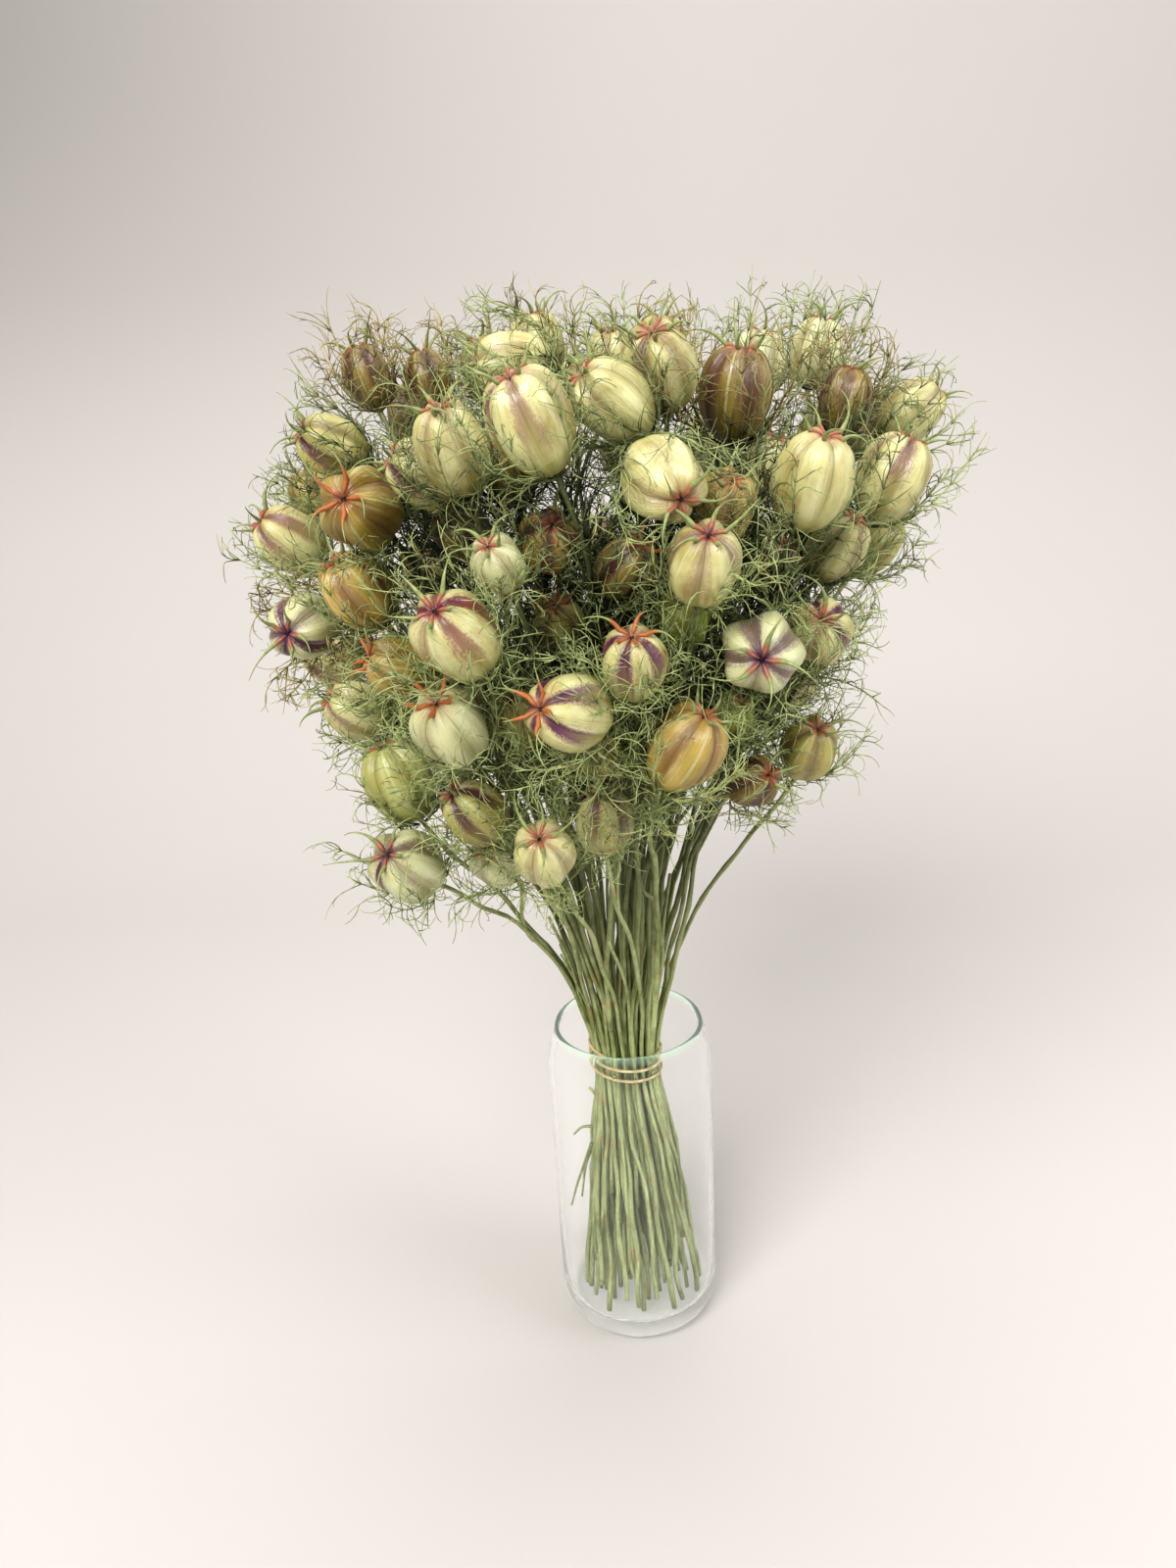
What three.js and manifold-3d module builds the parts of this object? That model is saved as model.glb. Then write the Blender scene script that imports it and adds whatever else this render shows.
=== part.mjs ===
// A tied bunch of dried love-in-a-mist seed heads standing in a clear can-shaped glass.
// Millimetres, +Z up, origin at the centre of the glass's underside. The bunch faces -Y.
import * as THREE from 'three';
import { mergeVertices } from 'three/addons/utils/BufferGeometryUtils.js';
import Module from 'manifold-3d';

const wasm = await Module();
wasm.setup();

// Glass
const GLASS_HEIGHT = 162;
const GLASS_RADIUS = 40;
const MOUTH_RADIUS = 36;
const BASE_RADIUS = 30;
const GLASS_WALL = 2.5;
const FLOOR_THICKNESS = 8;
const FOOT_RISE = 13;
const SHOULDER_START = 138;
const NECK_START = 157;
const GLASS_SIDES = 24;
const ARC_STEPS = 3;

// Bunch
const BUNCH_CENTRE_X = -2;
const FEET_CENTRE_X = 2;
const TIE_HEIGHT = 145;
const FOOT_HEIGHT = FLOOR_THICKNESS + 2.2;
const FOOT_SPREAD = 29;
const FOOT_TWIST = THREE.MathUtils.degToRad(16);
const RINGS = [
  { radius: 14.6, count: 22 },
  { radius: 11.1, count: 18 },
  { radius: 7.4, count: 12 },
  { radius: 3.7, count: 5 },
  { radius: 0, count: 1 },
];

// Stem
const STEM_RADIUS = 1.3;
const STEM_SIDES = 5;
const STEM_STEPS = 12;
const CROWN_STATIONS = 8;
const TIE_FLARE = 0.16;
const RISE_SHARE = 0.46;
const NECK_LENGTH = 30;
const STEM_IN_POD = 2;

// Seed pod
const POD_SIDES = 8;
const POD_LENGTH_RATIO = 1.2;
const BEAK_RATIO = 1.12;
const BEAK_TAPER = 0.25;

// Rubber band
const BAND_RADIUS = 0.8;
const BAND_SIDES = 6;
const BAND_TURNS = 3;
const BAND_TOP = 153;
const BAND_PITCH = 5.4;
const BAND_SLANT = 1.2;
const BAND_LOOSENESS = 2.2;
const BAND_LIFT = 2.4;
const BAND_START = Math.PI / 2;
const BAND_CROSSING = THREE.MathUtils.degToRad(80);
const BAND_STEPS = 54;

// Room that separate pieces keep, and how long the stems are left to settle into it
const CLEARANCE = 0.45;
const SETTLE_ROUNDS = 400;
const RECOVERY_ROUNDS = 300;
const BEND_RECOVERY = 0.12;
const WELD = 1e-4;

// Seed heads: x, y and z of the pod's centre, its width, the way it leans (degrees anticlockwise
// from +X, seen from above) and how far it leans from upright (degrees).
const FRONT_HEADS = [
  [-95, 20, 460, 21, 170, 15],
  [-101, -40, 436, 22, 195, 62],
  [-85, -86, 416, 28, 256, 70],
  [-50, -106, 435, 26, 243, 27],
  [-24, -116, 442, 28, 215, 27],
  [-23, 0, 467, 22, 180, 8],
  [3, -88, 447, 25, 200, 50],
  [-22, -88, 402, 22, 280, 55],
  [-38, -117, 399, 18, 250, 45],
  [-124, -28, 400, 25, 200, 50],
  [-92, -74, 386, 25, 215, 35],
  [-116, -60, 373, 26, 256, 92],
  [-77, -84, 361, 22, 200, 70],
  [-97, -70, 341, 22, 195, 60],
  [-52, -125, 378, 28, 240, 47],
  [-58, -115, 345, 26, 247, 40],
  [-35, -94, 340, 20, 230, 35],
  [-17, -126, 351, 26, 224, 72],
  [-82, -86, 317, 26, 180, 20],
  [-54, -100, 308, 23, 210, 40],
  [-81, -96, 287, 27, 241, 50],
  [-30, -113, 296, 24, 265, 44],
  [-8, -92, 299, 23, 265, 16],
  [20, -70, 456, 27, 252, 38],
  [49, -50, 446, 28, 300, 12],
  [16, -116, 424, 26, 291, 115],
  [38, -90, 410, 23, 285, 40],
  [28, -121, 396, 25, 275, 40],
  [4, -92, 392, 21, 315, 45],
  [24, -92, 374, 20, 290, 40],
  [69, -86, 417, 29, 306, 24],
  [84, -58, 390, 23, 320, 35],
  [95, -20, 441, 21, 350, 12],
  [109, -40, 412, 28, 350, 26],
  [127, 2, 434, 24, 0, 50],
  [49, -106, 363, 29, 261, 86],
  [76, -74, 362, 24, 258, 58],
  [4, -119, 364, 23, 268, 32],
  [21, -110, 331, 27, 330, 33],
  [49, -80, 307, 20, 300, 60],
  [73, -66, 314, 23, 287, 34],
];
const BACK_HEADS = [
  [-48, 52, 460, 24, 135, 14],
  [28, 40, 464, 24, 50, 12],
  [72, 52, 456, 25, 35, 16],
  [-12, 92, 450, 26, 100, 20],
  [-84, 70, 442, 26, 140, 20],
  [104, 70, 420, 26, 33, 27],
  [55, 105, 420, 27, 60, 27],
  [-42, 120, 412, 27, 110, 30],
  [-124, 32, 410, 24, 168, 28],
  [120, 30, 378, 25, 14, 38],
  [66, 112, 370, 26, 60, 40],
  [-2, 128, 372, 26, 92, 40],
  [-88, 92, 368, 25, 135, 38],
  [90, 45, 328, 25, 28, 45],
  [10, 105, 324, 26, 84, 48],
  [-66, 84, 320, 24, 130, 45],
  [-98, 12, 322, 24, 172, 48],
];

const SAGE = new THREE.Color(0.48, 0.52, 0.33);
const POD_TONES = [
  new THREE.Color(0.8, 0.78, 0.58),
  new THREE.Color(0.72, 0.6, 0.34),
  new THREE.Color(0.56, 0.56, 0.28),
  new THREE.Color(0.78, 0.7, 0.66),
];

// --- Solids -------------------------------------------------------------------------------

function toSolid(geometry) {
  const bare = geometry.clone();
  bare.deleteAttribute('normal');
  bare.deleteAttribute('uv');
  const welded = mergeVertices(bare, WELD);
  const corners = welded.index.array;
  const triangles = [];
  for (let i = 0; i < corners.length; i += 3) {
    const [a, b, c] = corners.slice(i, i + 3);
    if (a !== b && b !== c && c !== a) {
      triangles.push(a, b, c);
    }
  }
  return new wasm.Manifold(
    new wasm.Mesh({
      numProp: 3,
      vertProperties: new Float32Array(welded.attributes.position.array),
      triVerts: new Uint32Array(triangles),
    }),
  );
}

function toGeometry(solid) {
  const mesh = solid.getMesh();
  const geometry = new THREE.BufferGeometry();
  geometry.setAttribute('position', new THREE.BufferAttribute(mesh.vertProperties, 3));
  geometry.setIndex(new THREE.BufferAttribute(mesh.triVerts, 1));
  geometry.computeVertexNormals();
  return geometry;
}

function regularSection(radius, sides) {
  const section = new THREE.Shape();
  for (let k = 0; k < sides; k += 1) {
    const angle = (2 * Math.PI * k) / sides;
    const corner = [radius * Math.cos(angle), radius * Math.sin(angle)];
    if (k === 0) {
      section.moveTo(...corner);
    } else {
      section.lineTo(...corner);
    }
  }
  section.closePath();
  return section;
}

function tube(points, radius, sides, steps) {
  const route = new THREE.CatmullRomCurve3(points, false, 'centripetal');
  return new THREE.ExtrudeGeometry(regularSection(radius, sides), { steps, extrudePath: route });
}

// --- Plants -------------------------------------------------------------------------------

function makePlant(row) {
  const [x, y, z, width, turn, lean] = row;
  const turnAngle = THREE.MathUtils.degToRad(turn);
  const leanAngle = THREE.MathUtils.degToRad(lean);
  const axis = new THREE.Vector3(
    Math.sin(leanAngle) * Math.cos(turnAngle),
    Math.sin(leanAngle) * Math.sin(turnAngle),
    Math.cos(leanAngle),
  );
  const centre = new THREE.Vector3(x, y, z);
  const length = POD_LENGTH_RATIO * width;
  const base = centre.clone().addScaledVector(axis, -length / 2);
  const reach = Math.hypot(x - BUNCH_CENTRE_X, y);
  return {
    axis,
    base,
    width,
    length,
    azimuth: Math.atan2(y, x - BUNCH_CENTRE_X),
    spread: reach / (z - TIE_HEIGHT),
    core: [
      base.clone().addScaledVector(axis, width / 2),
      base.clone().addScaledVector(axis, length * BEAK_RATIO - width * BEAK_TAPER),
    ],
  };
}

// Deals the plants out to the rings of the tie, the most slanted stems outermost, and turns each
// ring so that its stems leave towards their own heads.
function dealSlots(plants) {
  const bySpread = [...plants].sort((a, b) => b.spread - a.spread);
  for (const { radius, count } of RINGS) {
    const ring = bySpread.splice(0, count).sort((a, b) => a.azimuth - b.azimuth);
    const step = (2 * Math.PI) / count;
    let best = { strength: -1, phase: 0 };
    for (let shift = 0; shift < count; shift += 1) {
      let cosSum = 0;
      let sinSum = 0;
      ring.forEach((plant, k) => {
        cosSum += Math.cos(plant.azimuth - step * (k + shift));
        sinSum += Math.sin(plant.azimuth - step * (k + shift));
      });
      const strength = Math.hypot(cosSum, sinSum);
      if (strength > best.strength) {
        best = { strength, phase: step * shift + Math.atan2(sinSum, cosSum) };
      }
    }
    ring.forEach((plant, k) => {
      plant.slotRadius = radius;
      plant.slotAngle = best.phase + step * k;
    });
  }
}

function polar(centreX, radius, angle, z) {
  return new THREE.Vector3(centreX + radius * Math.cos(angle), radius * Math.sin(angle), z);
}

// The stem's points from the foot to just inside the pod. The first, the one at the tie and the
// last two stay where they are while the bunch settles.
function routeStem(plant) {
  const { slotRadius, slotAngle, axis, base } = plant;
  const outermost = RINGS[0].radius;
  const footRadius = (FOOT_SPREAD * slotRadius) / outermost;
  const foot = polar(FEET_CENTRE_X, footRadius, slotAngle + FOOT_TWIST, FOOT_HEIGHT);
  const tie = polar(BUNCH_CENTRE_X, slotRadius, slotAngle, TIE_HEIGHT);
  const shank = foot.clone().lerp(tie, 0.5);
  const rise = base.distanceTo(tie) * RISE_SHARE;
  const flare = (TIE_FLARE * slotRadius) / outermost;
  const upwards = new THREE.Vector3(flare * Math.cos(slotAngle), flare * Math.sin(slotAngle), 1);
  const crown = new THREE.CubicBezierCurve3(
    tie,
    tie.clone().addScaledVector(upwards.normalize(), rise),
    base.clone().addScaledVector(axis, -NECK_LENGTH),
    base,
  );
  const inPod = base.clone().addScaledVector(axis, STEM_IN_POD);
  plant.points = [foot, shank, ...crown.getPoints(CROWN_STATIONS), inPod];
  plant.fixed = plant.points.map((_, k) => k === 0 || k === 2 || k >= plant.points.length - 2);
}

// Nearest points of two straight stretches: how far along each they lie, and the way between them.
function nearest(a, b, way) {
  const along = b.end.clone().sub(b.start);
  const across = a.end.clone().sub(a.start);
  const offset = a.start.clone().sub(b.start);
  const aa = across.dot(across);
  const bb = along.dot(along);
  const ab = across.dot(along);
  const ao = across.dot(offset);
  const bo = along.dot(offset);
  const spread = aa * bb - ab * ab;
  let s = spread > 1e-9 ? THREE.MathUtils.clamp((ab * bo - bb * ao) / spread, 0, 1) : 0.5;
  const t = THREE.MathUtils.clamp((ab * s + bo) / bb, 0, 1);
  s = THREE.MathUtils.clamp((ab * t - ao) / aa, 0, 1);
  way.copy(offset).addScaledVector(across, s).addScaledVector(along, -t);
  return [s, t];
}

function stretches(plants) {
  const list = [];
  plants.forEach((plant, owner) => {
    const { points, fixed, core, width } = plant;
    for (let k = 0; k + 1 < points.length; k += 1) {
      const [start, end] = [points[k], points[k + 1]];
      list.push({ owner, start, end, radius: STEM_RADIUS, held: [fixed[k], fixed[k + 1]] });
    }
    list.push({ owner, start: core[0], end: core[1], radius: width / 2, held: [true, true] });
  });
  return list;
}

function push(stretch, share, way, amount) {
  const weights = [1 - share, share];
  [stretch.start, stretch.end].forEach((point, k) => {
    if (!stretch.held[k]) {
      point.addScaledVector(way, amount * weights[k]);
    }
  });
}

// Pushes stems that touch another stem or a pod apart, little by little, while each stem springs
// back towards its own curve. The last rounds only push, so that nothing is left touching.
function settle(plants) {
  const list = stretches(plants);
  const bends = plants.map(({ points }) =>
    points.map((point, k) =>
      k > 0 && k + 1 < points.length
        ? point.clone().sub(points[k - 1].clone().lerp(points[k + 1], 0.5))
        : null,
    ),
  );
  const way = new THREE.Vector3();
  const middle = new THREE.Vector3();
  for (let round = 0; round < SETTLE_ROUNDS; round += 1) {
    for (const stretch of list) {
      stretch.middle = stretch.start.clone().lerp(stretch.end, 0.5);
      stretch.half = stretch.start.distanceTo(stretch.end) / 2 + stretch.radius + CLEARANCE;
    }
    for (let i = 0; i < list.length; i += 1) {
      for (let j = i + 1; j < list.length; j += 1) {
        const [a, b] = [list[i], list[j]];
        const near = a.middle.distanceToSquared(b.middle) < (a.half + b.half) ** 2;
        if (near && a.owner !== b.owner && !(a.held[0] && a.held[1] && b.held[0] && b.held[1])) {
          const [s, t] = nearest(a, b, way);
          const distance = way.length();
          const lack = a.radius + b.radius + CLEARANCE - distance;
          if (lack > 0) {
            way.divideScalar(Math.max(distance, 1e-6));
            push(a, s, way, lack * 0.5);
            push(b, t, way, -lack * 0.5);
          }
        }
      }
    }
    if (round < RECOVERY_ROUNDS) {
      plants.forEach(({ points, fixed }, p) => {
        for (let k = 1; k + 1 < points.length; k += 1) {
          if (!fixed[k]) {
            middle.copy(points[k - 1]).lerp(points[k + 1], 0.5).add(bends[p][k]);
            points[k].lerp(middle, BEND_RECOVERY);
          }
        }
      });
    }
  }
}

function podSolid({ axis, base, width, length }) {
  const outline = [
    [0, 0],
    [0.25, 0.04],
    [0.45, 0.23],
    [0.5, 0.5],
    [0.38, 0.8],
    [0.12, 0.98],
    [0, BEAK_RATIO],
  ];
  const profile = outline.map(([r, h]) => new THREE.Vector2(r * width, h * length));
  const lathe = new THREE.LatheGeometry(profile, POD_SIDES);
  const upright = new THREE.Vector3(0, 1, 0);
  lathe.applyQuaternion(new THREE.Quaternion().setFromUnitVectors(upright, axis));
  lathe.translate(base.x, base.y, base.z);
  return toSolid(lathe);
}

function plantMesh(plant, name, tone) {
  const stem = toSolid(tube(plant.points, STEM_RADIUS, STEM_SIDES, STEM_STEPS));
  const colour = tone.clone().lerp(SAGE, 0.25);
  const material = new THREE.MeshStandardMaterial({ color: colour, roughness: 0.7, metalness: 0 });
  const mesh = new THREE.Mesh(toGeometry(stem.add(podSolid(plant))), material);
  mesh.name = name;
  return mesh;
}

// --- Glass and rubber band ----------------------------------------------------------------

function glassMesh() {
  const foot = GLASS_RADIUS - BASE_RADIUS;
  const shoulder = (NECK_START - SHOULDER_START) / 2;
  const innerBody = GLASS_RADIUS - GLASS_WALL;
  const innerMouth = MOUTH_RADIUS - GLASS_WALL;
  const lip = GLASS_WALL / 2;
  const outline = new THREE.Path();
  outline.moveTo(0, 0);
  outline.lineTo(BASE_RADIUS, 0);
  outline.quadraticCurveTo(GLASS_RADIUS, 0, GLASS_RADIUS, FOOT_RISE);
  outline.lineTo(GLASS_RADIUS, SHOULDER_START);
  outline.bezierCurveTo(
    GLASS_RADIUS, SHOULDER_START + shoulder, MOUTH_RADIUS, NECK_START - shoulder,
    MOUTH_RADIUS, NECK_START,
  );
  outline.lineTo(MOUTH_RADIUS, GLASS_HEIGHT - lip);
  outline.absarc(MOUTH_RADIUS - lip, GLASS_HEIGHT - lip, lip, 0, Math.PI, false);
  outline.lineTo(innerMouth, NECK_START);
  outline.bezierCurveTo(
    innerMouth, NECK_START - shoulder, innerBody, SHOULDER_START + shoulder,
    innerBody, SHOULDER_START,
  );
  outline.lineTo(innerBody, FLOOR_THICKNESS + foot);
  outline.quadraticCurveTo(innerBody, FLOOR_THICKNESS, innerBody - foot, FLOOR_THICKNESS);
  outline.lineTo(0, FLOOR_THICKNESS);
  const lathe = new THREE.LatheGeometry(outline.getPoints(ARC_STEPS), GLASS_SIDES);
  lathe.rotateX(Math.PI / 2);
  const material = new THREE.MeshStandardMaterial({
    color: 0xe8f2ec,
    roughness: 0.05,
    metalness: 0,
    transparent: true,
    opacity: 0.35,
  });
  const mesh = new THREE.Mesh(toGeometry(toSolid(lathe)), material);
  mesh.name = 'glass_vase';
  return mesh;
}

// One length of band wound down the stems, brought back up across its own turns to where it began.
function bandMesh() {
  const nearRadius = RINGS[0].radius + STEM_RADIUS + BAND_RADIUS + BAND_LOOSENESS;
  const fullTurn = 2 * Math.PI;
  const total = BAND_TURNS * fullTurn - (2 * CLEARANCE) / nearRadius;
  const drop = BAND_PITCH / fullTurn;
  const points = [];
  for (let k = 0; k <= BAND_STEPS; k += 1) {
    const angle = (total * k) / BAND_STEPS;
    const crossing = THREE.MathUtils.smoothstep(angle, total - BAND_CROSSING, total);
    const lift = BAND_LIFT * Math.sin(Math.PI * crossing);
    const fall = drop * angle * (1 - crossing);
    const z = BAND_TOP - BAND_SLANT - fall + BAND_SLANT * Math.sin(angle);
    points.push(polar(BUNCH_CENTRE_X, nearRadius + lift, angle + BAND_START, z));
  }
  const geometry = tube(points, BAND_RADIUS, BAND_SIDES, BAND_STEPS);
  const material = new THREE.MeshStandardMaterial({ color: 0xb8824a, roughness: 0.85, metalness: 0 });
  const mesh = new THREE.Mesh(toGeometry(toSolid(geometry)), material);
  mesh.name = 'rubber_band';
  return mesh;
}

const plants = [...FRONT_HEADS, ...BACK_HEADS].map(makePlant);
dealSlots(plants);
plants.forEach(routeStem);
settle(plants);

const bouquet = new THREE.Group();
bouquet.add(glassMesh(), bandMesh());
plants.forEach((plant, k) => {
  const name = `nigella_stem_${String(k + 1).padStart(2, '0')}`;
  bouquet.add(plantMesh(plant, name, POD_TONES[k % POD_TONES.length]));
});

export default bouquet;
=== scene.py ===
"""A tied bunch of dried nigella seed pods standing in a clear glass vase."""

import math
import random

import bmesh
import bpy
from bpy.props import FloatProperty, FloatVectorProperty, IntProperty, PointerProperty
from mathutils import Matrix, Quaternion, Vector, noise


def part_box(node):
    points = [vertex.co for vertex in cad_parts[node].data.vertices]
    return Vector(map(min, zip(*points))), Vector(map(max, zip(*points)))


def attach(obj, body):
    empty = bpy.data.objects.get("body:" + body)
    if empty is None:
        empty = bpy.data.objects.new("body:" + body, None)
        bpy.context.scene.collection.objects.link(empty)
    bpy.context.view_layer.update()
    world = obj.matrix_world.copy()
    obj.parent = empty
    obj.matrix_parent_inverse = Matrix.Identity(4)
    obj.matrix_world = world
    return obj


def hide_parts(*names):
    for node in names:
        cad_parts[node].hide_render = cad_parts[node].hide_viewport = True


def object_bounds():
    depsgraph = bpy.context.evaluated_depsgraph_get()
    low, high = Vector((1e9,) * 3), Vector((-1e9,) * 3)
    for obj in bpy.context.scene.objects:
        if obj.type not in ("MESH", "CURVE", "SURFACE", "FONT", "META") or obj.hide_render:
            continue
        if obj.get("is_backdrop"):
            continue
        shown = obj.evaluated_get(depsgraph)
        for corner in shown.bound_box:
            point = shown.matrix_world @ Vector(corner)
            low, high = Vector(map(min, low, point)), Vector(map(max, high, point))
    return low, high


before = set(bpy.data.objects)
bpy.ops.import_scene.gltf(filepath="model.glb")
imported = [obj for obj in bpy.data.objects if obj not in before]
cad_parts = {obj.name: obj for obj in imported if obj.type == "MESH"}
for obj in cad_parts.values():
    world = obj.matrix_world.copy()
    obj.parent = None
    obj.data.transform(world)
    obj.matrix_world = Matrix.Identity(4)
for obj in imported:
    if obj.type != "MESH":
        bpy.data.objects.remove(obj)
CAD_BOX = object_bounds()

bl_info = {
    "name": "Dried Nigella Bunch",
    "version": (1, 0, 0),
    "blender": (4, 5, 0),
    "location": "View3D > Sidebar > Nigella",
    "description": "Builds a bunch of dried nigella seed pods in a clear glass vase",
    "category": "Add Mesh",
}

MM = 0.001
BODY = "root"
WELD = 1e-6
UP = Vector((0, 0, 1))

# How the frame's plants are built
STEM_PREFIX = "nigella_stem_"
FRAME_STEM_SIDES = 5
FRAME_WELD = 20 * WELD
RING_REACH = 3 * MM
TIP_SHARE = 1.344
HALF_LENGTH_SHARE = 0.6

# A pod's outline from its stem to its crown, as shares of its width and of its length
POD_OUTLINE = (
    (0.0, 0.0), (0.10, 0.005), (0.22, 0.05), (0.35, 0.15), (0.45, 0.3), (0.5, 0.48), (0.495, 0.65),
    (0.445, 0.81), (0.36, 0.925), (0.25, 0.99), (0.14, 1.01), (0.06, 0.985), (0.0, 0.965),
)
POD_LENGTH = 1.2
LOBES = 5
STEPS_PER_LOBE = 12
OUTLINE_PARTS = 2

# The plants' finishes by number. A number that isn't here draws one of BACK_FINISHES
PLANT_FINISHES = {
    "cream": (4, 6, 7, 22, 26, 31, 32, 35),
    "striped": (18, 23, 37, 38),
    "starred": (12, 36),
    "veined": (5, 10, 14, 24, 34),
    "crimson": (15,),
    "rosy": (28,),
    "wine": (2, 20),
    "flushed": (21,),
    "ochre": (3, 13),
    "amber": (11, 27, 39),
    "umber": (1, 25, 29, 33, 40),
    "violet": (8,),
    "olive": (17, 41),
    "fresh": (19,),
    "green": (30,),
    "pale": (9, 16),
}
ORANGE_STYLES = (3, 13, 16, 18, 29, 38, 65)
DRY_LACE = (1, 6, 12, 24, 25, 33, 59)
TALL_LACE = (1, 25, 33, 44, 47, 59, 68, 69)
BACK_FINISHES = ("cream", "striped", "ochre", "olive", "pale", "veined", "umber", "wine")

# Heads on side branches: the pod's middle in millimetres, its width, turn and lean in degrees, and its finish
SIDE_HEADS = (
    (-70, 25, 458, 20, 160, 15, "umber"),
    (-62, -78, 426, 24, 190, 60, "wine"),
    (-30, -55, 460, 24, 185, 85, "cream"),
    (-35, -65, 425, 22, 250, 40, "ochre"),
    (-53, -60, 403, 22, 230, 50, "umber"),
    (-9, -105, 329, 16, 270, 35, "olive"),
    (-20, -75, 370, 22, 260, 40, "olive"),
    (-49, -80, 281, 22, 250, 50, "pale"),
    (5, -15, 460, 20, 270, 10, "cream"),
    (90, 12, 460, 22, 10, 15, "pale"),
    (112, 28, 430, 22, 15, 25, "striped"),
    (60, -48, 420, 20, 320, 20, "cream"),
    (42, -72, 330, 18, 300, 40, "green"),
    (9, -85, 314, 18, 280, 30, "ochre"),
    (62, -55, 382, 20, 310, 30, "pale"),
    (22, 88, 448, 23, 90, 25, "cream"),
    (15, 118, 418, 24, 85, 45, "striped"),
    (-98, 72, 410, 23, 150, 50, "ochre"),
    (92, 88, 375, 24, 45, 60, "cream"),
    (-112, 65, 362, 22, 150, 65, "olive"),
    (-120, 5, 345, 22, 180, 70, "striped"),
    (35, 105, 350, 23, 80, 60, "pale"),
    (-25, 105, 325, 22, 100, 70, "ochre"),
    (-82, 22, 300, 21, 170, 75, "cream"),
    (78, 15, 318, 21, 10, 70, "olive"),
    (40, 70, 296, 21, 60, 75, "striped"),
    (-20, 78, 292, 21, 110, 75, "green"),
)
TIE_HEIGHT = 145 * MM
TIE_FADE = 45 * MM
BRANCH_DROP = (0.05, 0.115)
LEAVES_FROM = 295 * MM
INNER_HEIGHTS = (0.29, 0.41)
INNER_SHARE = 0.24
INNER_CONE = (0.22, 0.62)
THREAD_STEPS = 6

# Bare growth at the front of the bundle, in millimetres: a branch that arches over it, a stem with a kink, and
# the broken twigs low on the left
ARCHING_BRANCH = ((-9, -24, 171), (-9.6, -33, 205), (-7.4, -41, 228), (-3.9, -50, 266), (1.4, -57, 280),
                  (9, -64, 288), (22, -72, 297), (33, -78, 301), (46, -81, 304))
KINKED_STEM = ((9, -20, 151), (10.8, -25, 169), (12.5, -32, 196), (13.6, -39, 225), (12.2, -43, 243), (8.1, -44, 248),
               (7, -45, 254), (10.5, -48, 264), (17.3, -52, 275), (27, -57, 290), (33, -60, 299))
LOW_TWIGS = (
    ((-20, -5, 106), (-25, -6, 107), (-29.5, -6, 103)),
    ((-21, -5, 97), (-24, -6, 89), (-29, -6, 75), (-33, -6, 61)),
    ((-22, -5, 92), (-25, -6, 83), (-27.5, -6, 66)),
)

# The glass, from the middle of its foot round the rim to the middle of its floor, as radius and height in
# millimetres for a glass of GLASS_RADIUS and GLASS_HEIGHT
GLASS_RADIUS = 40
GLASS_HEIGHT = 162
GLASS_PROFILE = (
    (0, 1.6), (14, 1.6), (24, 1.2), (29, 0.0), (33.5, 1.2), (38.2, 5.0), (40.1, 13), (40, 30), (40, 75), (40, 120),
    (40.1, 139), (39.4, 148), (37.4, 154.5), (36.1, 158.5), (35.7, 161.3), (34.6, 162.3), (33.6, 161.2),
    (33.5, 158.0), (34.9, 153.0), (36.8, 146.5), (37.5, 138), (37.5, 120), (37.5, 75), (37.5, 30), (36.8, 15),
    (33.5, 9.8), (26, 8.3), (12, 8.0), (0, 8.0),
)
GLASS_STEPS = 64
BAND_GRIP = 0.93


class StemSizes(bpy.types.PropertyGroup):
    """Sizes of the stems and branches."""

    foot_radius: FloatProperty(
        name="Foot radius", description="Half of a stem's thickness at its cut end",
        default=1.25 * MM, unit="LENGTH", subtype="DISTANCE")
    neck_radius: FloatProperty(
        name="Neck radius", description="Half of a stem's thickness under its pod",
        default=0.9 * MM, unit="LENGTH", subtype="DISTANCE")
    ridge_depth: FloatProperty(
        name="Ridge depth", description="How deep the ridges along a stem are, as a share of its radius",
        default=0.2, min=0, max=0.6, subtype="FACTOR")
    fillers: IntProperty(
        name="Bare stems", description="Bare stems that fill the bundle between the plants", default=46, min=0)
    twigs: IntProperty(
        name="Broken twigs", description="Short twigs low on the stems", default=12, min=0)


class PodSizes(bpy.types.PropertyGroup):
    """How a pod is shaped."""

    furrow_depth: FloatProperty(
        name="Furrow depth", description="How deep the furrows between the lobes are, as a share of the radius",
        default=0.19, min=0, max=0.4, subtype="FACTOR")
    horn_length: FloatProperty(
        name="Horn length", description="Length of each dried style, from the crown to its curled end",
        default=15 * MM, unit="LENGTH", subtype="DISTANCE")
    horn_radius: FloatProperty(
        name="Horn radius", description="Half of a style's thickness where it leaves the crown",
        default=0.85 * MM, unit="LENGTH", subtype="DISTANCE")


class LaceSizes(bpy.types.PropertyGroup):
    """Sizes of the lace of bracts and leaves."""

    bracts: IntProperty(name="Bracts", description="Bracts round each pod", default=8, min=1)
    leaves: IntProperty(
        name="Leaves", description="Thread-like leaves on the upper part of each stem", default=18, min=0)
    inner_leaves: IntProperty(
        name="Inner leaves", description="Long leaves on each stem inside the bunch", default=26, min=0)
    rib_radius: FloatProperty(
        name="Rib radius", description="Half of the thickness of a bract's rib",
        default=0.4 * MM, unit="LENGTH", subtype="DISTANCE")
    thread_radius: FloatProperty(
        name="Thread radius", description="Half of the thickness of a thread",
        default=0.26 * MM, unit="LENGTH", subtype="DISTANCE")
    thread_length: FloatProperty(
        name="Thread length", description="Usual length of a thread", default=17 * MM, unit="LENGTH",
        subtype="DISTANCE")


def colour(name, description, value):
    """A colour that a user may change."""
    return FloatVectorProperty(name=name, description=description, default=value, size=3, min=0, max=1,
                               subtype="COLOR")


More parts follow.
